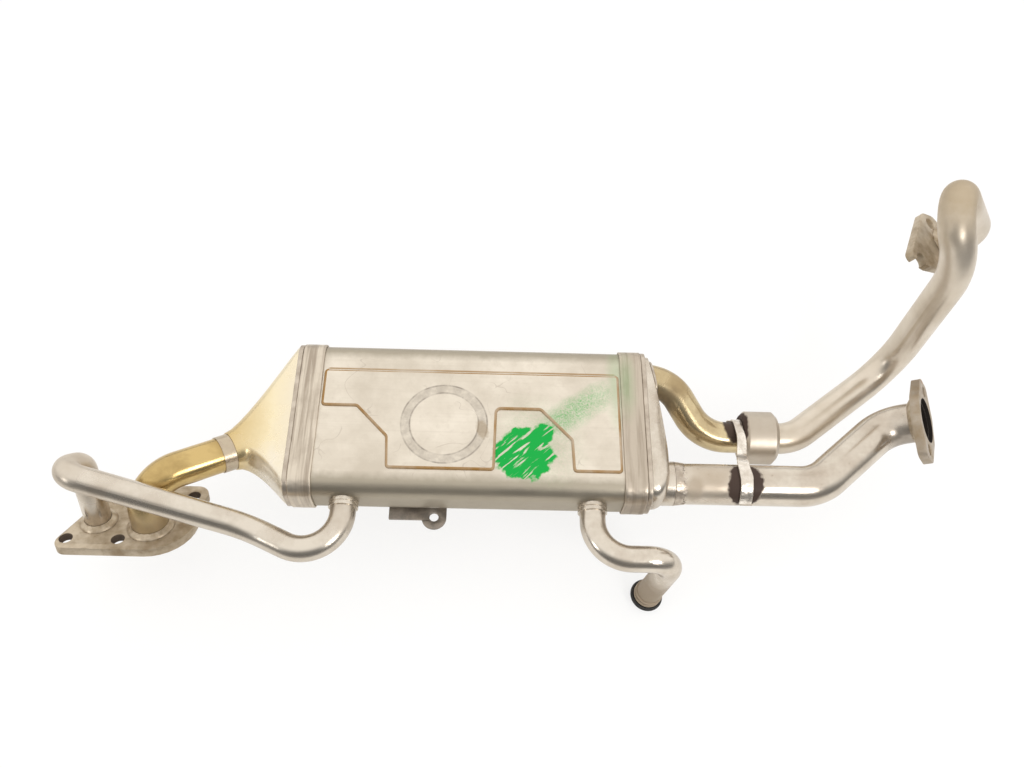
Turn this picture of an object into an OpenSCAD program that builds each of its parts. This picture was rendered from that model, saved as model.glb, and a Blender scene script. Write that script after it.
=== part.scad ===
// Exhaust gas recirculation cooler: a flat welded core with an inlet cone, an end cap and bent steel pipes.
// The core lies along X with its stamped pad up. The origin is the middle of the gas port in the
// inlet plate's mating face. Lengths are millimetres.

/* [Core] */
// Length of the shell between the two end bands
core_l = 214; // [190:1:240]
// Width of the shell
core_w = 118; // [112:1:126]
// Height of the shell
core_h = 38.5; // [36:0.5:44]
// Radius of the shell's long edges
corner_r = 13; // [10:0.5:15]
// Wall of the shell
shell_t = 1.5; // [1:0.1:2.5]
// Width of the band that each header folds over the shell
band_w = 16; // [10:1:24]
// Thickness of the header sheet
header_t = 1.6; // [1:0.1:2.4]
// Width of the weld seam beside each header
seam_w = 3.5; // [2:0.5:6]

/* [Stamped pad] */
// Rise of the pad above the shell
pad_rise = 1.2; // [0.6:0.1:2]
// Gap between the pad and each end band
pad_margin = 1; // [0.5:0.5:6]
// Distance of the pad's rear edge from the middle
pad_rear = 35; // [30:1:40]
// Distance of the two steps' edge from the middle
pad_step = 5; // [0:1:10]
// Distance of the pad's front edge from the middle
pad_front = 42; // [38:1:44]

/* [Gas tubes] */
// Number of flat gas tubes
tube_count = 8; // [6:1:8]
// Width of a gas tube
tube_w = 9; // [7:0.5:10]
// Height of a gas tube
tube_h = 26; // [22:1:28]
// Wall of a gas tube
tube_t = 0.8; // [0.5:0.1:1.2]
// Spacing of the gas tubes
tube_pitch = 13.2; // [12:0.1:13.6]
// Distance of each spacer plate from the middle
spacer_x = 40; // [20:1:60]
// Thickness of a spacer plate
spacer_t = 2; // [1:0.5:4]

/* [Inlet cone and pipe] */
// Depth of the cone's straight rim
cone_rim = 4.5; // [3:0.5:8]
// Wall of the cone
cone_t = 1.8; // [1.2:0.1:2.4]
// Outside diameter of the inlet gas pipe
inlet_d = 25; // [22:0.5:28]
// Wall of the gas pipes
gas_t = 1.3; // [1:0.1:2]
// Bend radius of the inlet gas pipe
inlet_bend = 25; // [22:1:28]
// Length over which the cone flares into its neck
cone_flare = 40; // [20:1:60]
// Length of the band on the neck
neck_band_l = 9; // [8:1:14]
// Thickness of the neck's sheet
neck_t = 1.4; // [1:0.1:2]

/* [Inlet plate] */
// Lean of the inlet plate
plate_tilt = 25; // [20:1:30]
// Thickness of the inlet plate
plate_t = 7; // [5:0.5:10]
// Distance between the gas port and the coolant port
port_gap = 37; // [35:0.5:40]
// Diameter of the bolt holes
bolt_d = 9; // [7:0.5:10]
// Height of the coolant pipe above the inlet plate
coolant_leg = 52; // [51:0.5:54]
// Height of the gas pipe's bend above the inlet plate
gas_leg = 40.5; // [38:0.5:41]

/* [Coolant pipes] */
// Outside diameter of the coolant pipes
coolant_d = 18; // [16:0.25:18.25]
// Wall of the coolant pipes
coolant_t = 1; // [0.8:0.1:1.5]
// Distance of each coolant stub from the end band
stub_inset = 21; // [16:1:30]
// Width of the collar around each stub
collar_w = 1.25; // [1:0.25:3]
// Length of the collar around each stub
collar_l = 5; // [3:0.5:8]
// Bend radius beside the shell
coolant_bend = 26; // [22:1:28]
// Tight bend radius at the far end
tight_bend = 9.2; // [9.2:0.05:9.4]
// Section diameter of the seal on the spigot
seal_d = 3; // [2:0.25:4]
// Distance of the seal from the spigot's end
seal_at = 4; // [3:0.5:6]

/* [End cap and outlet pipe] */
// Depth of the cap's straight rim
cap_rim = 2.5; // [2:0.5:8]
// Rise of the cap's dome
cap_rise = 10.5; // [9:0.5:16]
// Inset of the cap from the core's sides
cap_inset = 2.2; // [1:0.2:3]
// Wall of the cap
cap_t = 1.8; // [1.2:0.1:2.4]
// Outside diameter of the outlet pipe
outlet_d = 29; // [26:0.5:31]
// Distance of the outlet pipe from the middle
outlet_y = 39; // [37:0.5:41]
// Length of the cap's neck on the outlet pipe
outlet_neck = 4; // [2:1:14]
// Bend radius of the outlet pipe
outlet_bend = 34; // [30:1:38]
// Rise of the outlet flange's face
outlet_tilt = 36; // [30:1:42]
// Sideways turn of the outlet flange's face
outlet_turn = 6.5; // [0:0.5:12]
// Thickness of the outlet flange
outlet_flange_t = 6.5; // [5:0.5:9]
// Depth of the recess in the outlet flange's face
outlet_recess = 2.5; // [1.5:0.5:3.5]
// Distance between the outlet flange's bolt holes
outlet_bolts = 47; // [46:0.5:50]

/* [Bypass pipe and riser] */
// Outside diameter of the bypass pipe and riser
riser_d = 23; // [20:0.5:24]
// Outside diameter of the coupling sleeve
sleeve_d = 39.5; // [32:0.5:42]
// Length of the coupling sleeve
sleeve_l = 25.5; // [20:0.5:28]
// Chamfer of the coupling sleeve
sleeve_chamfer = 3; // [1:0.5:5]
// Lean of the riser's flange
riser_tilt = 33; // [28:1:38]
// Thickness of the riser's flange
riser_flange_t = 6; // [4:0.5:8]

/* [Brackets and welds] */
// Thickness of the mounting tab
tab_t = 3; // [2:0.5:5]
// Diameter of the hole in the mounting tab
tab_hole_d = 6.6; // [5:0.1:9]
// Width of the strap between the pipes
strap_w = 9; // [8:0.5:11]
// Thickness of the strap
strap_t = 2; // [1.5:0.25:3]
// Leg length of the fillet welds
weld_leg = 4; // [2.5:0.5:5]
// Gap left at each fit
fit = 0.1; // [0.05:0.05:0.3]

/* [Hidden] */
round_fn = 64;
corner_seg = 8;
over = 1;
tongue_l = 0.6;
tongue_gap = 0.02;
seat_gap = 0.02;

// Places along the core, from its middle
half_l = core_l / 2;
face_x = half_l + band_w;
shell_end = face_x - header_t;
rim_x = face_x + seam_w;
dome_x = rim_x + cap_rim;
front_y = -core_w / 2;
top_z = core_h / 2;

// Inlet plate: the coolant port's middle on the upper face, and the plate's own axes
plate_at = [-rim_x - 132.5, -68.5, -22.5];
port_drop = 3;
plate_up = [0, sin(plate_tilt), cos(plate_tilt)];
plate_back = [0, cos(plate_tilt), -sin(plate_tilt)];
gas_port = plate_at + [port_gap, 0, 0] - port_drop * plate_back;
datum = gas_port - plate_t * plate_up;

// Corners of the pipes' routes
stub_x = half_l - stub_inset;
coolant_out_front = [-stub_x, front_y - 49, 0];
coolant_out_knee = [-half_l - 44, -78, -1.5];
coolant_top = plate_at + coolant_leg * plate_up;
coolant_out_elbow = coolant_top + [-8.2, -13.8, 19.8];
coolant_in_front = [stub_x, front_y - 37, 0];
coolant_in_knee = [half_l + 35, front_y - 37, 0];
coolant_in_end = [half_l + 25, front_y - 41, -75];
outlet_z = -3;
outlet_knee = [rim_x + 121, -outlet_y, outlet_z];
outlet_corner = [rim_x + 178, 10, outlet_z];
outlet_leg = 30;
bypass_y = 6;
bypass_z = -18.5;
bypass_start = [rim_x, 40.5, 5];
bypass_first = [rim_x + 18.2, 40.5, 5];
bypass_second = [rim_x + 45, bypass_y, bypass_z];
sleeve_x = rim_x + 74;
sleeve_mid = sleeve_x + sleeve_l / 2;
riser_port = [rim_x + 216.5, 123, 70];
riser_leg = 22.5;
riser_foot = [rim_x + 113.5, bypass_y, bypass_z];
riser_knee = [rim_x + 196.5, 69, -15];
riser_shoulder = [rim_x + 196.5, 71, 112.5];
riser_head = [rim_x + 168, 100, 174.5];

// Routes of the pipes, with the radius of each bend
inlet_corner = gas_port + gas_leg * plate_up;
neck_at = [-rim_x - 43.5, -21.3, -4.1];
inlet_dir = unit(inlet_corner - neck_at);
inlet_path = [neck_at + fit / 2 * inlet_dir, inlet_corner, datum];
coolant_out_path = [[-stub_x, front_y + shell_t, 0], coolant_out_front, coolant_out_knee, coolant_out_elbow,
                    coolant_top, plate_at - plate_t * plate_up];
coolant_out_bends = [coolant_bend, 60, tight_bend, tight_bend];
coolant_in_path = [[stub_x, front_y + shell_t, 0], coolant_in_front, coolant_in_knee, coolant_in_end];
coolant_in_bends = [coolant_bend, 17];
spigot_dir = unit(coolant_in_end - coolant_in_knee);
outlet_dir = [cos(outlet_tilt) * cos(outlet_turn), -cos(outlet_tilt) * sin(outlet_turn), sin(outlet_tilt)];
outlet_face = outlet_corner + outlet_leg * outlet_dir;
outlet_path = [[dome_x, -outlet_y, outlet_z], outlet_knee, outlet_corner, outlet_face - outlet_recess * outlet_dir];
outlet_bends = [outlet_bend, 27];
bypass_path = [bypass_start, bypass_first, bypass_second, [sleeve_mid - fit, bypass_y, bypass_z]];
bypass_bends = [32, 34];
riser_up = [sin(riser_tilt), 0, cos(riser_tilt)];
riser_path = [[sleeve_mid + fit, bypass_y, bypass_z], riser_foot, riser_knee, riser_shoulder, riser_head,
              riser_port + riser_leg * riser_up, riser_port - riser_flange_t * riser_up];
riser_bends = [33, 35, 76, 16.5, 15];

function unit(v) = v / norm(v);
function wrap(list, i) = list[(i + len(list)) % len(list)];

// One rounded corner of a flat outline, as points on its arc
function corner(a, b, c, r) =
    let (u = unit(b - a), v = unit(c - b), side = sign(u.x * v.y - u.y * v.x), turn = acos(u * v))
    let (start = b - u * r * tan(turn / 2), n = side * [-u.y, u.x])
    [for (k = [0:corner_seg]) let (w = turn * k / corner_seg) start + u * r * sin(w) + n * r * (1 - cos(w))];
function rounded(pts, radii) =
    [for (i = [0:len(pts) - 1]) each corner(wrap(pts, i - 1), pts[i], wrap(pts, i + 1), radii[i])];

// Moves a piece from the core's middle to the part's own origin
module place() {
    translate(-datum) children();
}

// Turns a piece that stands along Z to lie along a direction
module along(dir) {
    rotate([0, acos(dir.z / norm(dir)), atan2(dir.y, dir.x)]) children();
}

module ring(ro, ri) {
    difference() {
        circle(r = ro, $fn = round_fn);
        circle(r = ri, $fn = round_fn);
    }
}

module tube(a, b, ro, ri) {
    translate(a) along(b - a) linear_extrude(norm(b - a)) ring(ro, ri);
}

// A short tongue inside the wall, which joins a straight to a bend
module tongue(ro, ri) {
    wall = (ro - ri) / 3;
    translate([0, 0, -tongue_l]) linear_extrude(2 * tongue_l) ring(ro - wall, ri + wall);
}

// A bent pipe from corner i of its path on, each piece standing on the end of the one before.
// The last bend's direction is side, and used is the length that the bend took from this straight.
module run(path, bends, ro, ri, i, side, used) {
    u = unit(path[i + 1] - path[i]);
    turns = i < len(path) - 2;
    v = turns ? unit(path[i + 2] - path[i + 1]) : u;
    turn = turns ? acos(u * v) : 0;
    r = turns ? bends[i] : 0;
    reach = r * tan(turn / 2);
    straight = norm(path[i + 1] - path[i]) - used - reach;
    linear_extrude(straight) ring(ro, ri);
    if (i > 0) tongue(ro, ri);
    if (turns) {
        n = unit(v - u * (u * v));
        seam = atan(tongue_gap / r);
        translate([0, 0, straight]) rotate([0, 0, atan2(n * cross(u, side), n * side)]) {
            tongue(ro, ri);
            translate([r, 0, 0]) rotate([90, 0, 180]) rotate([0, 0, seam])
                rotate_extrude(angle = turn - 2 * seam, $fn = round_fn) translate([r, 0]) ring(ro, ri);
            translate([r, 0, 0]) rotate([0, turn, 0]) translate([-r, 0, 0])
                run(path, bends, ro, ri, i + 1, n * cos(turn) - u * sin(turn), reach);
        }
    }
}

// A bent pipe through the corners of a path
module pipe(path, bends, ro, ri) {
    u = unit(path[1] - path[0]);
    lean = acos(u.z);
    heading = atan2(u.y, u.x);
    side = [cos(lean) * cos(heading), cos(lean) * sin(heading), -sin(lean)];
    translate(path[0]) along(u) run(path, bends, ro, ri, 0, side, 0);
}

// A solid bend of radius r at corner b of a path, as thick as ro
module elbow(a, b, c, r, ro) {
    u = unit(b - a);
    v = unit(c - b);
    n = unit(v - u * (u * v));
    w = cross(u, n);
    m = b - u * r * tan(acos(u * v) / 2) + n * r;
    multmatrix([[-n.x, u.x, w.x, m.x], [-n.y, u.y, w.y, m.y], [-n.z, u.z, w.z, m.z], [0, 0, 0, 1]])
        rotate_extrude(angle = acos(u * v), $fn = round_fn) translate([r, 0]) circle(r = ro, $fn = round_fn);
}

// A fillet weld around a pipe where it leaves a face along a direction
module fillet(at, dir, r) {
    translate(at) along(dir) rotate_extrude($fn = round_fn)
        polygon([[r + fit, 0], [r + weld_leg, 0], [r + weld_leg * 0.7, weld_leg * 0.45], [r + fit, weld_leg]]);
}

// The shell's cross section, grown on all sides
module section(grow) {
    w = core_w + 2 * grow;
    h = core_h + 2 * grow;
    r = corner_r + grow;
    square([w - 2 * r, h], center = true);
    square([w, h - 2 * r], center = true);
    for (sx = [-1, 1], sy = [-1, 1]) translate([sx * (w / 2 - r), sy * (h / 2 - r)]) circle(r = r, $fn = round_fn);
}

// A slice of the shell's section from x0 to x1
module slice(x0, x1, grow) {
    translate([x0, 0, 0]) rotate([90, 0, 90]) linear_extrude(x1 - x0) section(grow);
}

module flat_tube(grow) {
    r = tube_w / 2 + grow;
    square([2 * r, tube_h - tube_w], center = true);
    for (s = [-1, 1]) translate([0, s * (tube_h - tube_w) / 2]) circle(r = r, $fn = round_fn);
}

module tube_pattern() {
    for (i = [0:tube_count - 1]) translate([(i - (tube_count - 1) / 2) * tube_pitch, 0]) children();
}

// A plate across the core with a slot for each gas tube
module slotted(x0, x1, grow) {
    difference() {
        slice(x0, x1, grow);
        translate([x0 - over, 0, 0]) rotate([90, 0, 90]) linear_extrude(x1 - x0 + 2 * over)
            tube_pattern() flat_tube(fit);
    }
}

// Outline of the stamped pad, anticlockwise from its rear right corner
pad_x = half_l - pad_margin;
pad_pts = [[pad_x, pad_rear], [-pad_x, pad_rear], [-pad_x, pad_step], [-81, pad_step], [-59, -18],
           [-57.5, -pad_front], [17.5, -pad_front], [18.5, pad_step], [49, pad_step], [70.5, -18],
           [71.5, -pad_front], [pad_x, -pad_front]];
pad_round = 3;

module pad() {
    translate([0, 0, top_z - shell_t / 2]) linear_extrude(pad_rise + shell_t / 2)
        polygon(rounded(pad_pts, [for (p = pad_pts) pad_round]));
}

// Hole in the shell's front wall for a coolant stub
module stub_hole(x) {
    translate([x, front_y - over, 0]) rotate([-90, 0, 0])
        cylinder(r = coolant_d / 2 + fit, h = core_w / 4, $fn = round_fn);
}

module shell() color("#c9c4b4") place() {
    difference() {
        union() {
            slice(-shell_end, shell_end, 0);
            pad();
        }
        slice(-shell_end - over, shell_end + over, -shell_t);
        for (s = [-1, 1]) stub_hole(s * stub_x);
    }
}

// A header: a slotted plate with a band folded over the shell's end, for the right-hand end
module header() {
    difference() {
        slice(half_l, face_x, header_t);
        slice(half_l - over, shell_end, fit);
        translate([shell_end - over, 0, 0]) rotate([90, 0, 90]) linear_extrude(header_t + 2 * over)
            tube_pattern() flat_tube(fit);
    }
}

module left_header() color("#b9b3a2") place() {
    mirror([1, 0, 0]) header();
}

module right_header() color("#b9b3a2") place() {
    header();
}

module core_tubes() color("#9a968c") place() {
    translate([-face_x, 0, 0]) rotate([90, 0, 90]) linear_extrude(2 * face_x) tube_pattern() difference() {
        flat_tube(0);
        flat_tube(-tube_t);
    }
}

module tube_spacers() color("#8e8a80") place() {
    for (s = [-1, 1]) slotted(s * spacer_x - spacer_t / 2, s * spacer_x + spacer_t / 2, -shell_t - fit);
}

// A seam between a header and the piece welded to it, for the right-hand end
module seam() {
    difference() {
        slice(face_x, rim_x, header_t * 0.6);
        slice(face_x - over, rim_x + over, -2 * cap_t);
    }
}

module cone_seam() color("#8a8478") place() {
    mirror([1, 0, 0]) seam();
}

module cap_seam() color("#8a8478") place() {
    seam();
}

// Points around the core's section, shrunk by d, and around the neck, shrunk by d, in the same order
cone_steps = 10;
dome_steps = 8;
dome_flat = 30;
dome_front = 13;
dome_rear = core_w - 2 * cap_inset - dome_front - dome_flat;
dome_down = 7;
cone_around = 4 * (corner_seg + 1);
function rim_points(d) =
    let (r = corner_r - d, w = core_w / 2 - corner_r, h = core_h / 2 - corner_r)
    [for (q = [0:3], k = [0:corner_seg]) let (a = 90 * (q + k / corner_seg))
        [-rim_x, (q == 0 || q == 3 ? w : -w) + r * cos(a), (q < 2 ? h : -h) + r * sin(a)]];
neck_side = unit(cross([0, 0, 1], -inlet_dir));
neck_top = cross(-inlet_dir, neck_side);
function neck_points(d) =
    [for (q = [0:3], k = [0:corner_seg]) let (a = 90 * (q + (k + 0.5) / (corner_seg + 1)))
        neck_at + (inlet_d / 2 + neck_t - d) * (neck_side * cos(a) + neck_top * sin(a))];

// One ring of the cone: s runs from 0 at the rim to 1 at the neck
function cone_ring(d, s) =
    let (p = rim_points(d), q = neck_points(d), t = s * s * (3 - 2 * s), e = s * s * (s - 1), f = s * (1 - s) * (1 - s))
    [for (i = [0:cone_around - 1]) p[i] * (1 - t) + q[i] * t + e * cone_flare * inlet_dir - f * [2 * cone_rim, 0, 0]];

// The four corners of one face between the rings a and b
function quad(a, b, k, n) = [a * n + k, a * n + (k + 1) % n, b * n + (k + 1) % n, b * n + k];

module inlet_cone() color("#cdb37a") place() {
    n = cone_around;
    m = cone_steps + 1;
    points = [for (d = [0, 1], i = [0:cone_steps]) each cone_ring(d == 0 ? 0 : cone_t, i / cone_steps)];
    skin = [for (i = [0:cone_steps - 1], k = [0:n - 1]) quad(i, i + 1, k, n)];
    lining = [for (i = [0:cone_steps - 1], k = [0:n - 1]) quad(m + i + 1, m + i, k, n)];
    ends = [for (k = [0:n - 1]) each [quad(m, 0, k, n), quad(m - 1, 2 * m - 1, k, n)]];
    polyhedron(points, concat(skin, lining, ends));
}

module neck_band() color("#b7aea6") place() {
    tube(inlet_path[0], neck_at + neck_band_l * inlet_dir, inlet_d / 2 + neck_t * 0.5, inlet_d / 2 + fit);
}

module inlet_pipe() color("#b3924f") place() {
    pipe(inlet_path, [inlet_bend], inlet_d / 2, inlet_d / 2 - gas_t);
}

// Outline of the inlet plate about its coolant port, and the bolt holes in it
plate_pts = [[-27, -26.5], [port_gap + 29.5, -27], [port_gap + 32, 38], [port_gap + 12, 38], [-8, 17]];
plate_radii = [7, 30, 9, 9, 12];
plate_bolts = [[-17, -17], [18.5, -17], [port_gap + 22, 27.5]];

module inlet_plate() color("#a49a83") place() {
    translate(plate_at) rotate([-plate_tilt, 0, 0]) difference() {
        translate([0, 0, -plate_t]) linear_extrude(plate_t) polygon(rounded(plate_pts, plate_radii));
        translate([0, 0, -plate_t - over]) {
            cylinder(r = coolant_d / 2 + fit, h = plate_t + 2 * over, $fn = round_fn);
            translate([port_gap, -port_drop, 0]) cylinder(r = inlet_d / 2 + fit, h = plate_t + 2 * over, $fn = round_fn);
            for (p = plate_bolts) translate(p) cylinder(d = bolt_d, h = plate_t + 2 * over, $fn = round_fn);
        }
    }
}

module inlet_weld() color("#8f8570") place() {
    fillet(gas_port, plate_up, inlet_d / 2);
}

module coolant_outlet_weld() color("#8f8570") place() {
    fillet(plate_at, plate_up, coolant_d / 2);
}

module coolant_outlet_pipe() color("#b5aea4") place() {
    pipe(coolant_out_path, coolant_out_bends, coolant_d / 2, coolant_d / 2 - coolant_t);
}

// The spigot's rolled beads and the seal's groove are measured from the pipe's end
bead_d = 2.4;
bead_at = [seal_at + seal_d / 2 + bead_d / 2 + fit, seal_at + seal_d / 2 + 2 * bead_d + 1];

module coolant_inlet_pipe() color("#b5aea4") place() {
    r = coolant_d / 2;
    pipe(coolant_in_path, coolant_in_bends, r, r - coolant_t);
    for (d = bead_at) translate(coolant_in_end - d * spigot_dir) along(spigot_dir)
        rotate_extrude($fn = round_fn) intersection() {
            translate([r, 0]) circle(d = bead_d, $fn = 32);
            translate([r - coolant_t / 2, -bead_d]) square(2 * bead_d);
        }
}

module spigot_seal() color("#1c1c1c") place() {
    translate(coolant_in_end - seal_at * spigot_dir) along(spigot_dir)
        rotate_extrude($fn = round_fn) translate([(coolant_d + seal_d) / 2 + fit, 0]) circle(d = seal_d, $fn = 32);
}

// A collar of two rings around each stub, cut to sit on the shell's side
module stub_collars() color("#a9a296") place() {
    pipe_r = coolant_d / 2;
    for (s = [-1, 1]) difference() {
        translate([s * stub_x, front_y - collar_l, 0]) rotate([-90, 0, 0]) difference() {
            linear_extrude(collar_l + corner_r / 2) ring(pipe_r + collar_w, pipe_r + fit);
            translate([0, 0, collar_l * 0.4]) linear_extrude(collar_l * 0.2)
                ring(pipe_r + collar_w + over, pipe_r + collar_w / 2);
        }
        slice(-shell_end, shell_end, fit);
    }
}

// A flat tab under the shell, with a round ear in front of it
tab_x = -half_l + 82.5;
tab_y = front_y - 2.5;

module mounting_tab() color("#5f5c56") place() {
    ear = tab_hole_d / 2 + 5.5;
    translate([0, 0, -top_z - tab_t]) difference() {
        union() {
            translate([tab_x - 32, tab_y - 2, 0]) cube([28, 28, tab_t]);
            translate([tab_x - 6, tab_y, 0]) cube([6 + ear, 20, tab_t]);
            translate([tab_x, tab_y, 0]) cylinder(r = ear, h = tab_t, $fn = round_fn);
        }
        translate([tab_x, tab_y, -over]) cylinder(d = tab_hole_d, h = tab_t + 2 * over, $fn = round_fn);
    }
}

// One ring of the end cap, shrunk by d, at x: a runs from 0 at the rim to 90 at the flat of the dome,
// which rises steeply at the front and slopes gently to the rear
function cap_ring(d, x, a) =
    let (g = 1 - cos(a), side = core_w / 2 - cap_inset - d, front = side - dome_front * g,
         rear = side - dome_rear * pow(sin(a), 1.3), w = (front + rear) / 2, mid = (rear - front) / 2,
         h = core_h / 2 - d - dome_down * g, r = min(corner_r - d, h - 0.5))
    [for (q = [0:3], k = [0:corner_seg]) let (t = 90 * (q + k / corner_seg))
        [x, (q == 0 || q == 3 ? w - r : r - w) + r * cos(t) + mid, (q < 2 ? h - r : r - h) + r * sin(t)]];

// The end cap as a solid dome, shrunk by d, from a little before its rim
module cap_form(d, before = 0) {
    n = cone_around;
    domes = [for (i = [0:dome_steps]) let (a = 90 * i / dome_steps) cap_ring(d, dome_x + cap_rise * sin(a) - d, a)];
    rings = concat([cap_ring(d, rim_x - before, 0)], domes);
    skin = [for (i = [0:dome_steps], k = [0:n - 1]) quad(i + 1, i, k, n)];
    ends = [[for (k = [0:n - 1]) k], [for (k = [n - 1:-1:0]) (dome_steps + 1) * n + k]];
    polyhedron([for (r = rings) each r], concat(skin, ends));
}

// The bypass pipe's bend at the cap, grown by d
module bypass_elbow(d) {
    elbow(bypass_start, bypass_first, bypass_second, bypass_bends[0], riser_d / 2 + d);
}

module end_cap() color("#c6c2b8") place() {
    difference() {
        union() {
            cap_form(0);
            translate([dome_x, -outlet_y, outlet_z]) rotate([0, 90, 0])
                cylinder(r = outlet_d / 2 + 1.2, h = cap_rise + outlet_neck, $fn = round_fn);
        }
        cap_form(cap_t, over);
        translate([rim_x + cap_t, -outlet_y, outlet_z]) rotate([0, 90, 0])
            cylinder(r = outlet_d / 2 + fit, h = cap_rise + cap_rim + outlet_neck + over, $fn = round_fn);
        bypass_elbow(fit);
    }
}

module bypass_pipe() color("#b89a5c") place() {
    pipe(bypass_path, bypass_bends, riser_d / 2, riser_d / 2 - gas_t);
}

// A bead where the bypass pipe leaves the cap's dome
bypass_bead_w = 2.2;
bypass_bead_t = 1.3;

module bypass_weld() color("#8f8570") place() {
    difference() {
        intersection() {
            bypass_elbow(bypass_bead_w);
            cap_form(-bypass_bead_t);
        }
        cap_form(-fit / 2);
        bypass_elbow(fit);
    }
}

module coupling_sleeve() color("#bdb8ae") place() {
    r = sleeve_d / 2;
    bore = riser_d / 2 + fit;
    translate([sleeve_x, bypass_y, bypass_z]) rotate([0, 90, 0]) rotate_extrude($fn = round_fn)
        polygon([[bore, 0], [r - sleeve_chamfer, 0], [r, sleeve_chamfer], [r, sleeve_l - sleeve_chamfer],
                 [r - sleeve_chamfer, sleeve_l], [bore, sleeve_l]]);
}

module riser_pipe() color("#aaa498") place() {
    pipe(riser_path, riser_bends, riser_d / 2, riser_d / 2 - gas_t);
}

// Outline of the riser's flange about its port, long side towards the two fixings
ear_y = riser_d / 2 + 7.5;
ear_gap = 48;
riser_pts = [[15, -15], [15, ear_y], [6, ear_y + 10], [4 - ear_gap - 9, ear_y + 10], [4 - ear_gap + 1, ear_y - 9],
             [-18, -15]];
riser_radii = [12, 8, 6, 4, 6, 12];

module riser_flange() color("#a39a84") place() {
    translate(riser_port) rotate([0, riser_tilt, 0]) rotate([0, 0, 60]) difference() {
        translate([0, 0, -riser_flange_t]) linear_extrude(riser_flange_t) polygon(rounded(riser_pts, riser_radii));
        translate([0, 0, -riser_flange_t - over]) {
            cylinder(r = riser_d / 2 + fit, h = riser_flange_t + 2 * over, $fn = round_fn);
            translate([4, ear_y, 0]) cylinder(d = bolt_d, h = riser_flange_t + 2 * over, $fn = round_fn);
            translate([4 - ear_gap, ear_y, 0]) cylinder(d = bolt_d, h = riser_flange_t + 2 * over, $fn = round_fn);
            translate([4 - ear_gap - 20, ear_y - bolt_d / 2, 0]) cube([20, bolt_d, riser_flange_t + 2 * over]);
        }
    }
}

module riser_weld() color("#8f8570") place() {
    fillet(riser_port, riser_up, riser_d / 2);
}

module outlet_pipe() color("#b3aa96") place() {
    pipe(outlet_path, outlet_bends, outlet_d / 2, outlet_d / 2 - gas_t);
}

// A weld around the outlet pipe where the cap's neck ends
module outlet_collar() color("#9a948a") place() {
    x = dome_x + cap_rise + outlet_neck;
    translate([x, -outlet_y, outlet_z]) rotate([0, 90, 0]) rotate_extrude($fn = round_fn)
        polygon([[outlet_d / 2 + fit, 0], [outlet_d / 2 + 1.2, 0], [outlet_d / 2 + fit, 9]]);
}

// Outline of the outlet flange about its bore
function oval(half_y) =
    [[8, half_y], [-8, half_y], [-20, 10], [-20, -10], [-8, -half_y], [8, -half_y], [20, -10], [20, 10]];

module outlet_flange() color("#b0a99b") place() {
    reach = outlet_bolts / 2 + 8;
    translate(outlet_face) rotate([0, 90 - outlet_tilt, -outlet_turn]) difference() {
        translate([0, 0, -outlet_flange_t]) linear_extrude(outlet_flange_t)
            polygon(rounded(oval(reach), [6, 6, 9, 9, 6, 6, 9, 9]));
        translate([0, 0, -outlet_flange_t - over])
            cylinder(r = outlet_d / 2 + fit, h = outlet_flange_t + 2 * over, $fn = round_fn);
        translate([0, 0, -outlet_recess]) cylinder(r = outlet_d / 2 + 1.5, h = outlet_recess + over, $fn = round_fn);
        for (s = [-1, 1]) translate([0, s * outlet_bolts / 2, -outlet_flange_t - over])
            cylinder(d = bolt_d - 1, h = outlet_flange_t + 2 * over, $fn = round_fn);
    }
}

module outlet_weld() color("#8f8570") place() {
    fillet(outlet_face - (outlet_flange_t + seat_gap) * outlet_dir, -outlet_dir, outlet_d / 2);
}

// A saddle of sheet that lies on a pipe along X, from one angle to another about the pipe
module saddle(x, w, y, z, r, t, from, to) {
    translate([x, y, z]) rotate([90, 0, 90]) linear_extrude(w) intersection() {
        ring(r + t, r + fit);
        polygon([[0, 0], each [for (k = [0:6]) let (a = from + (to - from) * k / 6) 3 * r * [cos(a), sin(a)]]]);
    }
}

// The strap lies along the line that touches both pipes from above, beside the sleeve,
// and shifts a little sideways on its way
strap_gap = 0.4;
strap_x = sleeve_x - strap_w - strap_gap;
strap_shift = -1;
pipe_gap = [-outlet_y - bypass_y, outlet_z - bypass_z];
strap_angle = atan2(pipe_gap.y, pipe_gap.x) - acos((riser_d - outlet_d) / 2 / norm(pipe_gap));
strap_start = 20;
strap_end = 168;
bead_angle = 9;

// Moves to where the strap touches a pipe: Y points out of the pipe and Z along the bridge
module at_contact(x, y, z, r) {
    translate([x, y, z]) rotate([strap_angle, 0, 0]) translate([0, r + fit, 0]) children();
}

// A short tongue inside the strap, which joins its bridge to a saddle
module strap_tongue() {
    third = (strap_t - fit) / 3;
    translate([third, third, -tongue_l]) cube([strap_w - 2 * third, third, 2 * tongue_l]);
}

module strap() color("#c2bdb2") place() {
    r_up = riser_d / 2;
    r_low = outlet_d / 2;
    bridge = sqrt(pow(norm(pipe_gap), 2) - pow(r_low - r_up, 2)) - tongue_gap;
    saddle(strap_x, strap_w, bypass_y, bypass_z, r_up, strap_t, strap_start, strap_angle);
    saddle(strap_x + strap_shift, strap_w, -outlet_y, outlet_z, r_low, strap_t, strap_angle, strap_end);
    at_contact(strap_x, bypass_y, bypass_z, r_up) {
        strap_tongue();
        translate([0, strap_t - fit, 0]) rotate([90, 0, 0]) linear_extrude(strap_t - fit)
            polygon([[0, tongue_gap], [strap_w, tongue_gap], [strap_w + strap_shift, bridge], [strap_shift, bridge]]);
    }
    at_contact(strap_x + strap_shift, -outlet_y, outlet_z, r_low) strap_tongue();
}

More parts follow.
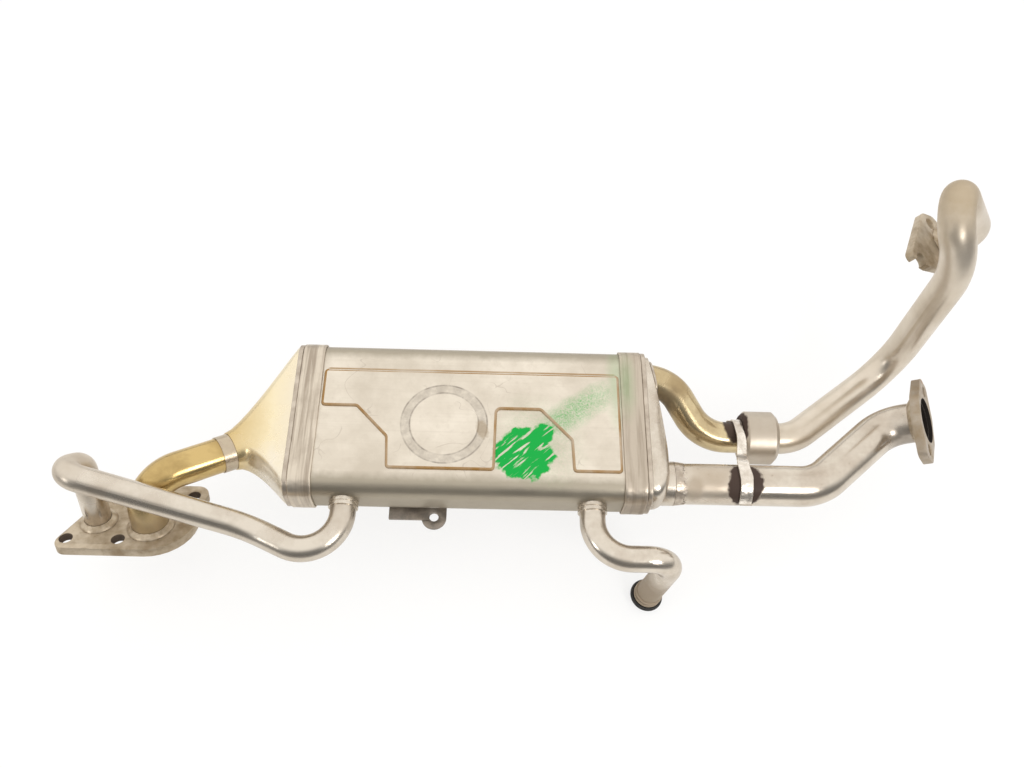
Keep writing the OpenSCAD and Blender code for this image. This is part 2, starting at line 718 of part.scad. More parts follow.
// A bead at each end of the strap
module strap_welds() color("#4a342a") place() {
    saddle(strap_x, strap_w, bypass_y, bypass_z, riser_d / 2, strap_t * 0.7, strap_start - bead_angle, strap_start - 1);
    saddle(strap_x + strap_shift, strap_w, -outlet_y, outlet_z, outlet_d / 2, strap_t * 0.7,
           strap_end + 1, strap_end + bead_angle);
}

shell();
left_header();
right_header();
core_tubes();
tube_spacers();
inlet_cone();
cone_seam();
neck_band();
inlet_pipe();
inlet_plate();
inlet_weld();
coolant_outlet_pipe();
coolant_outlet_weld();
coolant_inlet_pipe();
spigot_seal();
stub_collars();
mounting_tab();
end_cap();
cap_seam();
bypass_pipe();
bypass_weld();
coupling_sleeve();
riser_pipe();
riser_flange();
riser_weld();
outlet_pipe();
outlet_collar();
outlet_flange();
outlet_weld();
strap();
strap_welds();
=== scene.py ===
"""Dresses the exhaust gas cooler: bevelled sheet and plates, lumpy welds, and worn metal finishes."""
import math

import bmesh
import bpy
from bpy.props import FloatProperty, FloatVectorProperty, PointerProperty
from mathutils import Matrix, Vector


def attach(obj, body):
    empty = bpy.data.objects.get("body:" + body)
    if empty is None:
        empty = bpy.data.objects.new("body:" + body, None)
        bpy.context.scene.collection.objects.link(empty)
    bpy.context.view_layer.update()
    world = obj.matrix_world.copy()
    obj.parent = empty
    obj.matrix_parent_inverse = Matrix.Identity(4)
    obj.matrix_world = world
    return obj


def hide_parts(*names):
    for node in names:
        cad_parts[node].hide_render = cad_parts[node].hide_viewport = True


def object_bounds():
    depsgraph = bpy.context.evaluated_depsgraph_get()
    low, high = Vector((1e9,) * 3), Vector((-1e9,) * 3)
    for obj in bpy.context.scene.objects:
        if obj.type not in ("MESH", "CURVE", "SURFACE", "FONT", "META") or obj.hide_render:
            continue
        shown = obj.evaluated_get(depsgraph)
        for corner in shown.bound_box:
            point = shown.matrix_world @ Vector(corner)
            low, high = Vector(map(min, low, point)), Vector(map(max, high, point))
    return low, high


bl_info = {
    "name": "Exhaust gas cooler",
    "version": (1, 0, 0),
    "blender": (4, 5, 0),
    "location": "3D View > Sidebar > Cooler",
    "description": "Finishes and fine forms of a welded exhaust gas cooler",
    "category": "Object",
}

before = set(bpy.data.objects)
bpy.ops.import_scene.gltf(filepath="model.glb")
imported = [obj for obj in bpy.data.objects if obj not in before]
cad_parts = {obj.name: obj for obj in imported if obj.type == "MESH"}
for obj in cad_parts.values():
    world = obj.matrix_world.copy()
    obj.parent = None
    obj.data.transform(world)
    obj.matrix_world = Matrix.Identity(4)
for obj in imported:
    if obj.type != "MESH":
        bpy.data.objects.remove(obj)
CAD_BOX = [list(corner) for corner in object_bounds()]
MM = 0.001
BODY = "root"

# Places on the part, in metres, and turns in degrees that lay x along a bore.
OUTLET_FACE = (0.5506, 0.0814, 0.0422)
OUTLET_TURN = (0, -36, -6.5)
INLET_HOLES = ((-0.054, -0.0112, 0.0091), (-0.0185, -0.0112, 0.0091), (0.022, 0.0291, -0.0097))
INLET_TURN = (0, -65, 90)

# Shares of the floor's glow that the camera and reflections see, and of the pale sky in reflections.
SEEN_FLOOR = 0.75
MIRRORED_FLOOR = 0.3
MIRRORED_SKY = 0.15

# The pale part of the floor in reflections, the sky's levels from low in front to above, and the camera.
FLOOR_SIZE = 12
PALE_CENTRE = (0.26, 0.34, 0)
PALE_REACH = (1.15, 0.62, 4)
SKY_LEAN = (0, 1, 0.9)
SKY_LEVELS = ((0.2, 0.02), (0.38, 0.12), (0.52, 0.77), (0.66, 1.33))
CAMERA_PLACE = (0.2345, -0.22632, 0.63883)
CAMERA_AHEAD = (0.024, 0.483, -0.875)
CAMERA_RIGHT = (0.999, 0.01, 0.033)
SENSOR_WIDTH = 36

# The ring stain and the middle of the sheet.
RING_CENTRE = (203.4 * MM, 67.0 * MM, 47 * MM)
RING_RADIUS = 27.2 * MM
SHEET_MIDDLE = 74.2 * MM
PAD_HEIGHT = 1.25 * MM
FLAT = 0.05 * MM


# ---------------------------------------------------------------- settings

def shade(red, green, blue):
    """A colour given as it shows on a screen, 0 to 255, in Blender's linear values."""
    def linear(value):
        value /= 255
        return value / 12.92 if value <= 0.04045 else ((value + 0.055) / 1.055) ** 2.4
    return linear(red), linear(green), linear(blue)


def colour(name, description, *screen):
    return FloatVectorProperty(name=name, description=description, subtype="COLOR",
                               min=0, max=1, default=shade(*screen))


def length(name, description, millimetres):
    return FloatProperty(name=name, description=description, subtype="DISTANCE", unit="LENGTH",
                         min=0, default=millimetres * MM)


class CoolerColours(bpy.types.PropertyGroup):
    """Colours of the metals, stains and paint; some of them also serve as painted shade."""
    sheet: colour("Sheet", "Satin sheet of the core", 222, 213, 199)
    sheet_dull: colour("Sheet, dull", "Dull patches on the sheet", 198, 188, 173)
    crease: colour("Pad line", "Brown stain along the stamped pad", 150, 112, 56)
    # Painted shade: this colour darkens the sheet along its long rounded edges.
    sheet_edge_shade: colour("Sheet, edges", "Duller sheet along the long edges", 164, 155, 139)
    ring: colour("Ring stain", "Grey ring left by a cup-shaped thing", 144, 135, 125)
    paint: colour("Paint", "Green paint dabbed on the sheet", 2, 160, 62)
    band: colour("Band", "Folded end bands", 208, 197, 181)
    band_dull: colour("Band, dull", "Brown-grey streaks on the bands", 164, 151, 136)
    bead: colour("Weld", "Bright ridges of the welds", 198, 187, 173)
    bead_dull: colour("Weld, dull", "Hollows of the welds", 170, 158, 145)
    straw: colour("Straw", "Light heat tint of the cone", 230, 216, 182)
    gold: colour("Gold", "Strong heat tint of the gas pipe", 198, 172, 117)
    gold_dull: colour("Gold, dull", "Brown end of the heat tint", 162, 136, 88)
    bypass: colour("Bypass", "Faded heat tint of the bypass pipe", 202, 185, 148)
    bypass_dull: colour("Bypass, dull", "Brown patches on the bypass pipe", 160, 138, 102)
    neck: colour("Neck band", "Silver band on the cone's neck", 188, 175, 153)
    # This brown tints the neck band and the gas inlet's faded end, and is painted shade on the coolant bend and
    # the outlet pipe.
    spigot: colour("Spigot", "Browned coolant spigot", 178, 162, 142)
    spigot_dull: colour("Spigot, dull", "Brown patches on the spigot", 148, 132, 112)
    steel: colour("Pipe steel", "Bright coolant and gas pipes", 208, 199, 186)
    steel_dull: colour("Pipe steel, dull", "Dull patches on the pipes", 184, 172, 157)
    riser: colour("Riser", "Satin riser pipe", 216, 206, 192)
    riser_dull: colour("Riser, dull", "Dull patches on the riser", 196, 184, 167)
    plate: colour("Plate", "Flange plates", 194, 180, 159)
    flange: colour("Flange", "Gas flanges", 168, 156, 141)
    plate_dull: colour("Plate, dull", "Brown speckle on the plates", 150, 132, 107)
    sleeve: colour("Sleeve", "Satin coupling sleeve", 190, 180, 166)
    burnt: colour("Burnt", "Burnt patches around the strap", 62, 47, 41)
    strap: colour("Strap", "Silvered strap", 236, 229, 219)
    soot: colour("Soot", "Soot inside the gas outlet", 36, 31, 28)
    # The hole colour is painted shade on the walls of the bolt holes.
    shadow: colour("Hole", "Grime on the walls of bolt holes", 92, 80, 70)
    # The tab's dark grey is painted shade, for the tab lies in the body's shadow; the seal's grey dust uses it
    # too.
    tab: colour("Tab", "Dark coating of the tab", 134, 127, 119)
    rubber: colour("Seal", "Black rubber", 26, 25, 24)
    rust: colour("Rust", "Rust spots", 150, 98, 48)


class CoolerSizes(bpy.types.PropertyGroup):
    """Sizes of the fine forms."""
    pad_slope: length("Pad slope", "Width of the stamped pad's sloping edge", 1.45)
    pad_line: length("Pad line", "Width of the stain on the pad's rim", 0.7)
    plate_edge: length("Plate edge", "Rounding of the plates' edges", 0.55)
    tab_edge: length("Tab edge", "Rounding of the tab's edges", 0.4)
    lump: length("Lump", "Height of the lumps on a weld", 0.4)
    seam_lump: length("Seam lump", "Height of the lumps on a long seam", 0.3)
    seam_pitch: length("Seam pitch", "Distance between the lumps on a long seam", 8)
    lump_pitch: length("Lump pitch", "Distance between the lumps on a weld", 2.6)
    band_lump: length("Band lump", "Height of the unevenness of a band", 0.35)
    bead_grid: length("Weld grid", "Mesh size of a weld", 0.42)
    band_grid: length("Band grid", "Mesh size of a band", 0.62)


class CoolerStage(bpy.types.PropertyGroup):
    """Floor, light and camera."""
    floor: colour("Floor", "Pale floor", 250, 249, 247)
    key: FloatProperty(name="Right softbox", description="Power of the right softbox",
                       subtype="POWER", default=1.6)
    fill: FloatProperty(name="Left softbox", description="Power of the left softbox",
                        subtype="POWER", default=0.8)
    lens: FloatProperty(name="Lens", description="Focal length", subtype="DISTANCE_CAMERA", default=33.05)


def colours():
    return bpy.context.scene.cooler_colours


def sizes():
    return bpy.context.scene.cooler_sizes


# ---------------------------------------------------------------- finishes

class Finish:
    """One procedural finish, built a node at a time on the part's own coordinates."""

    def __init__(self, name):
        self.material = bpy.data.materials.new(name)
        self.material.use_nodes = True
        self.tree = self.material.node_tree
        self.tree.nodes.clear()
        self.surface = self.add("ShaderNodeBsdfPrincipled")
        output = self.add("ShaderNodeOutputMaterial")
        self.tree.links.new(self.surface.outputs[0], output.inputs["Surface"])
        self.where = self.add("ShaderNodeTexCoord").outputs["Object"]

    def add(self, kind, **settings):
        node = self.tree.nodes.new(kind)
        for key, value in settings.items():
            setattr(node, key, value)
        return node

    def put(self, socket, value):
        if isinstance(value, bpy.types.NodeSocket):
            self.tree.links.new(value, socket)
        elif socket.type == "RGBA":
            socket.default_value = (*tuple(value)[:3], 1)
        else:
            socket.default_value = value

    def place(self, centre=(0, 0, 0), size=(1, 1, 1), turn=(0, 0, 0)):
        """Coordinates measured from centre, turned in degrees, in units of size."""
        node = self.add("ShaderNodeMapping", vector_type="TEXTURE")
        self.put(node.inputs["Vector"], self.where)
        node.inputs["Location"].default_value = centre
        node.inputs["Rotation"].default_value = [math.radians(angle) for angle in turn]
        node.inputs["Scale"].default_value = size
        return node.outputs[0]

    def noise(self, pitch, detail=3.0, rough=0.5, warp=0.0, vector=None):
        """Cloudy values from 0 to 1 with patches about pitch across."""
        node = self.add("ShaderNodeTexNoise")
        self.put(node.inputs["Vector"], vector or self.where)
        node.inputs["Scale"].default_value = 1 / pitch
        node.inputs["Detail"].default_value = detail
        node.inputs["Roughness"].default_value = rough
        node.inputs["Distortion"].default_value = warp
        return node.outputs["Fac"]

    def sum(self, operation, first, second=0.0):
        node = self.add("ShaderNodeMath", operation=operation)
        self.put(node.inputs[0], first)
        self.put(node.inputs[1], second)
        return node.outputs[0]

    def fade(self, value, low, high, bottom=0.0, top=1.0):
        """bottom at low, top at high, and straight between them."""
        node = self.add("ShaderNodeMapRange")
        self.put(node.inputs["Value"], value)
        for key, number in (("From Min", low), ("From Max", high), ("To Min", bottom), ("To Max", top)):
            node.inputs[key].default_value = number
        return node.outputs[0]

    def mix(self, share, first, second):
        node = self.add("ShaderNodeMix", data_type="RGBA")
        self.put(node.inputs["Factor"], share)
        self.put(node.inputs[6], first)
        self.put(node.inputs[7], second)
        return node.outputs[2]

    def size_of(self, vector):
        node = self.add("ShaderNodeVectorMath", operation="LENGTH")
        self.put(node.inputs[0], vector)
        return node.outputs["Value"]

    def axes(self, vector=None):
        node = self.add("ShaderNodeSeparateXYZ")
        self.put(node.inputs[0], vector or self.where)
        return node.outputs

    def blot(self, centre, size, turn=0.0, soft=0.3, ragged=0.3, pitch=0.006):
        """1 inside an egg-shaped patch with a ragged edge, and 0 outside it."""
        reach = self.size_of(self.place(centre, size, (0, 0, turn)))
        edge = self.fade(self.noise(pitch, 4), 0, 1, -ragged, ragged)
        return self.fade(self.sum("ADD", reach, edge), 1 + soft, 1 - soft)

    def bump(self, *layers):
        """Stacks (height, depth in metres) layers into one normal."""
        normal = None
        for height, depth in layers:
            node = self.add("ShaderNodeBump")
            node.inputs["Strength"].default_value = 1
            node.inputs["Distance"].default_value = depth
            self.put(node.inputs["Height"], height)
            if normal:
                self.put(node.inputs["Normal"], normal)
            normal = node.outputs[0]
        return normal

    def done(self, base, metal, rough, normal=None):
        for key, value in (("Base Color", base), ("Metallic", metal), ("Roughness", rough)):
            self.put(self.surface.inputs[key], value)
        if normal:
            self.put(self.surface.inputs["Normal"], normal)
        return self.material


def worn_metal(name, bright, dull, rough, patch=0.03, streak=(1, 1, 1), spots=None, marks=(), metallic=0.95,
               uneven=0.00015, bores=()):
    """Metal with cloudy dull patches, drawn streaks, fine grain and the given marks: stains, and painted shade
    where a caller puts it.

    streak stretches the drawn lines, spots is a colour for small specks, and each mark is
    (colour, share, centre, size, softness) in metres. Each of bores is (colour, centre, turn,
    radius, reach) of a hole darkened inside: soot in the gas outlet, painted shade in the bolt holes.
    """
    f = Finish(name)
    clouds = f.noise(patch, 5, 0.6)
    lines = f.noise(0.004, 3, 0.6, vector=f.place(size=streak))
    base = f.mix(f.fade(clouds, 0.38, 0.7), bright, dull)
    base = f.mix(f.fade(lines, 0.52, 0.8, 0, 0.4), base, dull)
    grit = f.noise(0.0008, 2)
    if spots:
        specks = f.fade(f.noise(0.003, 3, 0.6), 0.63, 0.72, 0, 0.55)
        base = f.mix(f.sum("MULTIPLY", specks, f.fade(clouds, 0.45, 0.62)), base, spots)
    metal = f.fade(clouds, 0.3, 0.8, metallic, metallic - 0.1)
    roughness = f.fade(clouds, 0.3, 0.75, rough - 0.03, rough + 0.07)
    for stain, share, centre, size, soft in marks:
        mask = f.sum("MULTIPLY", f.blot(centre, size, 0, soft, 0.22, 0.0045), share)
        base = f.mix(mask, base, stain)
        metal = f.sum("MULTIPLY", metal, f.fade(mask, 0, 1, 1, 0.1))
        roughness = f.sum("ADD", roughness, f.fade(mask, 0, 1, 0, 0.3))
    # Darkens inside each bore: soot in the gas outlet, painted shade in the bolt holes.
    for soot_and_shade, centre, turn, radius, reach in bores:
        inside = f.size_of(f.place(centre, (reach, radius, radius), turn))
        inside = f.fade(inside, 1.0, 0.98)
        base = f.mix(inside, base, soot_and_shade)
        metal = f.sum("MULTIPLY", metal, f.fade(inside, 0, 1, 1, 0))
        roughness = f.sum("MAXIMUM", roughness, f.fade(inside, 0, 1, 0, 0.8))
    normal = f.bump((grit, 0.000008), (lines, 0.00002), (clouds, uneven))
    f.surface.inputs["Specular IOR Level"].default_value = 0.15
    return f.done(base, metal, roughness, normal)


def sheet_finish(rear, left, right):
    """The core's satin sheet: mottled, with a ring stain, dabbed paint, its smear, light scratches and painted
    shade along its long rounded edges.

    rear, left and right are where the pad's rear edge runs; a brown line lies beside it.
    """
    c = colours()
    f = Finish("satin_sheet")
    clouds = f.noise(0.045, 6, 0.6)
    small = f.noise(0.007, 5, 0.65)
    lines = f.noise(0.002, 4, 0.6, vector=f.place(size=(60, 1, 1)))
    grit = f.noise(0.0008, 2)
    base = f.mix(f.fade(clouds, 0.36, 0.66), c.sheet, c.sheet_dull)
    base = f.mix(f.fade(small, 0.52, 0.75, 0, 0.5), base, c.sheet_dull)
    base = f.mix(f.fade(lines, 0.5, 0.75, 0, 0.35), base, c.sheet_dull)
    across = f.axes()[1]
    top = f.fade(f.axes()[2], 46.5 * MM, 46.8 * MM)
    off_middle = f.sum("ABSOLUTE", f.sum("SUBTRACT", across, SHEET_MIDDLE))
    # Painted shade: the sheet darkens along its long rounded front and rear edges.
    edge_shade = f.fade(f.sum("ADD", off_middle, f.fade(small, 0, 1, -2 * MM, 2 * MM)), 44 * MM, 50 * MM, 0, 0.92)
    base = f.mix(edge_shade, base, c.sheet_edge_shade)
    beside = f.sum("ABSOLUTE", f.sum("SUBTRACT", across, rear + 0.5 * MM))
    line = f.fade(beside, 1.1 * MM, 0.6 * MM, 0, 0.75)
    along = f.sum("ABSOLUTE", f.sum("SUBTRACT", f.axes()[0], (left + right) / 2))
    line = f.sum("MULTIPLY", line, f.fade(along, (right - left) / 2, (right - left) / 2 - 2 * MM))
    line = f.sum("MULTIPLY", f.sum("MULTIPLY", line, top), f.fade(f.noise(0.03, 4, 0.6), 0.3, 0.62, 0.4, 1.0))
    base = f.mix(line, base, c.crease)

    reach = f.size_of(f.place(RING_CENTRE, (1, 1, 50)))
    off_ring = f.sum("ABSOLUTE", f.sum("SUBTRACT", reach, RING_RADIUS))
    ring = f.fade(off_ring, 3.8 * MM, 2.8 * MM, 0, 0.42)
    rims = f.fade(f.sum("ABSOLUTE", f.sum("SUBTRACT", off_ring, 3.0 * MM)), 0.9 * MM, 0.3 * MM)
    rims = f.sum("MULTIPLY", rims, f.fade(f.noise(0.012, 4, 0.6), 0.38, 0.58, 0.25, 0.9))
    broken = f.fade(f.noise(0.006, 5, 0.65), 0.36, 0.62, 0.15, 1.0)
    ring = f.sum("MAXIMUM", f.sum("MULTIPLY", ring, broken), rims)
    ring = f.sum("MULTIPLY", ring, top)
    base = f.mix(ring, base, c.ring)
    dark_end = f.blot((230.3 * MM, 63 * MM, 48 * MM), (4 * MM, 7 * MM, 9 * MM), 12, 0.2, 0.3, 0.002)
    base = f.mix(f.sum("MULTIPLY", dark_end, 0.6), base, c.plate_dull)

    contour = f.sum("ABSOLUTE", f.sum("SUBTRACT", f.noise(0.034, 2, 0.4, 0.6), 0.5))
    hair = f.fade(contour, 0.0045, 0.001, 0, 0.42)
    where = f.fade(f.noise(0.021, 1), 0.52, 0.57)
    hair = f.sum("MULTIPLY", f.sum("MULTIPLY", hair, where), top)
    base = f.mix(hair, base, c.bead_dull)

    stroke = f.noise(0.0026, 3, 0.55, 0.4, vector=f.place(size=(8, 1, 1), turn=(0, 0, 43)))
    bare = f.fade(stroke, 0.55, 0.61)
    dab = f.blot((259.5 * MM, 45.5 * MM, 48 * MM), (20.5 * MM, 19.5 * MM, 30 * MM), 0, 0.06, 0.4, 0.007)
    corner = f.blot((271 * MM, 59 * MM, 48 * MM), (12 * MM, 7.5 * MM, 30 * MM), 42, 0.1, 0.4, 0.006)
    dab = f.sum("MAXIMUM", dab, corner)
    dab = f.sum("MULTIPLY", dab, f.fade(bare, 0, 1, 1, 0.12))
    dust = f.fade(f.noise(0.0011, 3, 0.6), 0.35, 0.7)
    smear = f.blot((294 * MM, 78 * MM, 48 * MM), (33 * MM, 8.8 * MM, 30 * MM), 35, 0.55, 0.35, 0.012)
    smear = f.sum("MULTIPLY", smear, f.fade(dust, 0, 1, 0.12, 0.72))
    edge_tint = f.blot((326 * MM, 100 * MM, 46 * MM), (6 * MM, 26 * MM, 12 * MM), 0, 0.6, 0.3, 0.008)
    smear = f.sum("MAXIMUM", smear, f.sum("MULTIPLY", edge_tint, 0.22))
    halo = f.blot((270 * MM, 55 * MM, 48 * MM), (20 * MM, 24 * MM, 20 * MM), 30, 0.7, 0.2, 0.01)
    smear = f.sum("MAXIMUM", smear, f.sum("MULTIPLY", halo, f.fade(dust, 0, 1, 0.0, 0.3)))
    paint = f.sum("MULTIPLY", f.sum("MAXIMUM", dab, smear), f.fade(f.axes()[2], 30 * MM, 36 * MM))
    base = f.mix(paint, base, c.paint)

    metal = f.sum("MULTIPLY", f.fade(paint, 0, 1, 0.9, 0.0), f.fade(line, 0, 1, 1, 0.3))
    rough = f.fade(f.sum("ADD", clouds, f.sum("MULTIPLY", small, 0.6)), 0.5, 1.2, 0.34, 0.5)
    normal = f.bump((grit, 0.00003), (lines, 0.00004), (small, 0.00012), (hair, -0.0001), (dab, 0.00012))
    f.surface.inputs["Specular IOR Level"].default_value = 0.2
    return f.done(base, metal, rough, normal)


def crease_finish():
    """The pad's sloping edge, with a brown stain that comes and goes."""
    c = colours()
    f = Finish("stained_crease")
    along = f.noise(0.03, 4, 0.6)
    base = f.mix(f.fade(along, 0.3, 0.62, 0.35, 1.0), c.sheet_dull, c.crease)
    grit = f.noise(0.001, 2)
    return f.done(base, 0.2, f.fade(grit, 0.2, 0.8, 0.45, 0.65), f.bump((grit, 0.00004)))


def band_finish():
    """Folded end bands with brown-grey streaks around them, pits, and a trace of paint."""
    c = colours()
    f = Finish("streaked_band")
    streaks = f.noise(0.0034, 4, 0.6, 0.25, vector=f.place(size=(1, 22, 22)))
    clouds = f.noise(0.018, 5, 0.6)
    base = f.mix(f.fade(streaks, 0.46, 0.66), c.band, c.band_dull)
    base = f.mix(f.fade(clouds, 0.5, 0.75, 0, 0.5), base, c.band_dull)
    base = f.mix(f.fade(f.axes()[0], 0.2, 0.3, 0, 0.5), base, c.band_dull)
    pits = f.fade(f.noise(0.005, 2), 0.7, 0.76)
    base = f.mix(f.sum("MULTIPLY", pits, 0.7), base, c.bead_dull)
    tint = f.blot((333 * MM, 102 * MM, 48 * MM), (5 * MM, 20 * MM, 10 * MM), 0, 0.7, 0.3, 0.008)
    base = f.mix(f.sum("MULTIPLY", tint, 0.22), base, c.paint)
    grit = f.noise(0.0009, 2)
    rough = f.fade(clouds, 0.3, 0.7, 0.3, 0.48)
    return f.done(base, 0.92, rough, f.bump((grit, 0.00003), (streaks, 0.00018), (pits, -0.0002)))


def bead_finish():
    """Weld metal: bright ridges, brown-grey hollows."""
    c = colours()
    f = Finish("weld_metal")
    lumps = f.noise(0.0032, 4, 0.6)
    clouds = f.noise(0.012, 4, 0.6)
    base = f.mix(f.fade(lumps, 0.38, 0.62), c.bead_dull, c.bead)
    base = f.mix(f.fade(clouds, 0.5, 0.7, 0, 0.5), base, c.plate_dull)
    grit = f.noise(0.0008, 2)
    return f.done(base, 0.9, f.fade(lumps, 0.3, 0.7, 0.42, 0.28), f.bump((lumps, 0.00022), (grit, 0.00004)))


def cone_finish():
    """The cone's straw tint, deeper towards its neck, with a painted highlight on its lower flank by the seam."""
    c = colours()
    f = Finish("straw_tint")
    along = f.axes()[0]
    clouds = f.noise(0.025, 5, 0.6)
    small = f.noise(0.004, 4, 0.6)
    wander = f.sum("ADD", along, f.fade(clouds, 0, 1, -0.012, 0.012))
    base = f.mix(f.fade(wander, 0.05, 0.084), c.gold, c.straw)
    base = f.mix(f.fade(wander, 0.08, 0.098, 0, 0.55), base, c.sheet)
    # Painted highlight: the lower flank by the seam is lightened to the strap's silver and made less metallic, as
    # if it reflected bright light.
    cone_highlight = f.blot((82 * MM, 26 * MM, 32 * MM), (18 * MM, 20 * MM, 24 * MM), 0, 0.5, 0.4, 0.006)
    base = f.mix(f.sum("MULTIPLY", cone_highlight, 0.6), base, c.strap)
    base = f.mix(f.fade(small, 0.58, 0.75, 0, 0.08), base, c.gold_dull)
    grit = f.noise(0.0008, 2)
    rough = f.fade(clouds, 0.3, 0.7, 0.22, 0.32)
    metal = f.fade(cone_highlight, 0, 1, 0.9, 0.35)
    return f.done(base, metal, rough, f.bump((grit, 0.00001), (clouds, 0.0003)))


def rubber_finish():
    """Black rubber with a little grey dust."""
    c = colours()
    f = Finish("seal_rubber")
    dust = f.noise(0.002, 4, 0.7)
    base = f.mix(f.fade(dust, 0.5, 0.8, 0, 0.4), c.rubber, c.tab)
    return f.done(base, 0.0, f.fade(dust, 0.3, 0.7, 0.5, 0.75), f.bump((dust, 0.0001)))


# ---------------------------------------------------------------- modelling helpers

def only(piece):
    """Makes one object the selected and active one, in object mode."""
    if bpy.context.object and bpy.context.object.mode != "OBJECT":
        bpy.ops.object.mode_set(mode="OBJECT")
    bpy.ops.object.select_all(action="DESELECT")
    piece.select_set(True)
    bpy.context.view_layer.objects.active = piece


def copy_of(node, name, flatten=True):
    """A separate copy of a CAD node, its loose triangles merged and its flats made whole."""
    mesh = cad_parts[node].data.copy()
    mesh.name = name
    piece = bpy.data.objects.new(name, mesh)
    bpy.context.collection.objects.link(piece)
    only(piece)
    if mesh.has_custom_normals:
        bpy.ops.mesh.customdata_custom_splitnormals_clear()
    bpy.ops.object.mode_set(mode="EDIT")
    bpy.ops.mesh.select_all(action="SELECT")
    bpy.ops.mesh.remove_doubles(threshold=0.000002)
    if flatten:
        bpy.ops.mesh.dissolve_limited(angle_limit=math.radians(0.3))
    bpy.ops.object.mode_set(mode="OBJECT")
    return piece


def modify(piece, kind, **settings):
    """Adds a modifier with these settings and applies it."""
    only(piece)
    modifier = piece.modifiers.new(kind.lower(), kind)
    for key, value in settings.items():
        setattr(modifier, key, value)
    bpy.ops.object.modifier_apply(modifier=modifier.name)


def smooth(piece, angle):
    only(piece)
    bpy.ops.object.shade_smooth_by_angle(angle=math.radians(angle))


def select_edges(piece, wanted):
    """In edit mode, selects the edges for which wanted(edge) holds."""
    bpy.ops.object.mode_set(mode="EDIT")
    bpy.ops.mesh.select_mode(type="EDGE")
    bpy.ops.mesh.select_all(action="DESELECT")
    work = bmesh.from_edit_mesh(piece.data)
    for edge in work.edges:
        edge.select = wanted(edge)
    work.select_flush_mode()
    bmesh.update_edit_mesh(piece.data)


def round_edges(piece, width, angle=40):
    """Bevels every edge that turns by more than angle."""
    select_edges(piece, lambda edge: len(edge.link_faces) == 2 and edge.calc_face_angle() > math.radians(angle))
    bpy.ops.mesh.bevel(offset=width, segments=2, profile=0.5, affect="EDGES", clamp_overlap=True)
    bpy.ops.object.mode_set(mode="OBJECT")
    smooth(piece, 32)


def make_lumpy(piece, grid, height, pitch, passes=3):
    """Remeshes a copy on a fine grid, smooths it, and raises lumps on it, as on hand-laid weld."""
    modify(piece, "REMESH", mode="VOXEL", voxel_size=grid, adaptivity=0)
    modify(piece, "SMOOTH", factor=0.5, iterations=passes)
    clouds = bpy.data.textures.new(piece.name + "_lumps", "CLOUDS")
    clouds.noise_scale = pitch
    clouds.noise_depth = 2
    modify(piece, "DISPLACE", texture=clouds, texture_coords="LOCAL", strength=height, mid_level=0.5)
    bpy.data.textures.remove(clouds)
    only(piece)
    bpy.ops.object.shade_smooth()


def dress(piece, slot, *materials, stands_for=None):
    """Gives a piece its finishes, and its body when it stands for a CAD node, which it hides; slot is not used.
    """
    piece.data.materials.clear()
    for material in materials:
        piece.data.materials.append(material)
    if stands_for:
        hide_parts(stands_for)
        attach(piece, BODY)


def finish_node(node, material):
    """Gives a CAD node a better material."""
    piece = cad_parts[node]
    piece.data.materials.clear()
    piece.data.materials.append(material)


# ---------------------------------------------------------------- operators

class COOLER_OT_shell(bpy.types.Operator):
    """Shell with a sloped, stained pad edge"""
    bl_idname = "cooler.shell"
    bl_label = "Shell"

    def execute(self, context):
        piece = copy_of("shell", "shell_sheet")
        pad_top = max(v.co.z for v in piece.data.vertices)
        slope = sizes().pad_slope
        pad = [v.co for v in piece.data.vertices if v.co.z > pad_top - FLAT]
        rear = max(co.y for co in pad)
        rear_edge = [co.x for co in pad if co.y > rear - 0.3 * MM]
        left, right = min(rear_edge), max(rear_edge)

        def pad_rim(edge):
            if len(edge.link_faces) != 2 or any(v.co.z < pad_top - FLAT for v in edge.verts):
                return False
            return edge.calc_face_angle() > math.radians(60)

        select_edges(piece, pad_rim)
        bpy.ops.mesh.bevel(offset=slope, segments=3, profile=0.5, affect="EDGES", clamp_overlap=True)
        bpy.ops.mesh.select_mode(type="FACE")
        bpy.ops.mesh.select_all(action="DESELECT")
        work = bmesh.from_edit_mesh(piece.data)
        for face in work.faces:
            face.select = face.normal.z > 0.999 and face.calc_center_median().z > pad_top - FLAT
        bmesh.update_edit_mesh(piece.data)
        bpy.ops.mesh.inset(thickness=sizes().pad_line, use_even_offset=True)
        bpy.ops.object.mode_set(mode="OBJECT")
        foot = pad_top - PAD_HEIGHT
        dress(piece, "shell", sheet_finish(rear, left, right), crease_finish(), stands_for="shell")
        for face in piece.data.polygons:
            face.material_index = 0
            rim = face.center.z > pad_top - FLAT and not face.select
            if rim or (face.center.z > foot and face.normal.z < 0.985 and face.area < 0.0001):
                face.material_index = 1
        smooth(piece, 35)
        return {"FINISHED"}


class COOLER_OT_bands(bpy.types.Operator):
    """Uneven folded bands at both ends of the core"""
    bl_idname = "cooler.bands"
    bl_label = "Bands"

    def execute(self, context):
        material = band_finish()
        for node in ("left_header", "right_header"):
            piece = copy_of(node, node + "_band", flatten=False)
            make_lumpy(piece, sizes().band_grid, sizes().band_lump, 0.006)
            dress(piece, "header", material, stands_for=node)
        return {"FINISHED"}


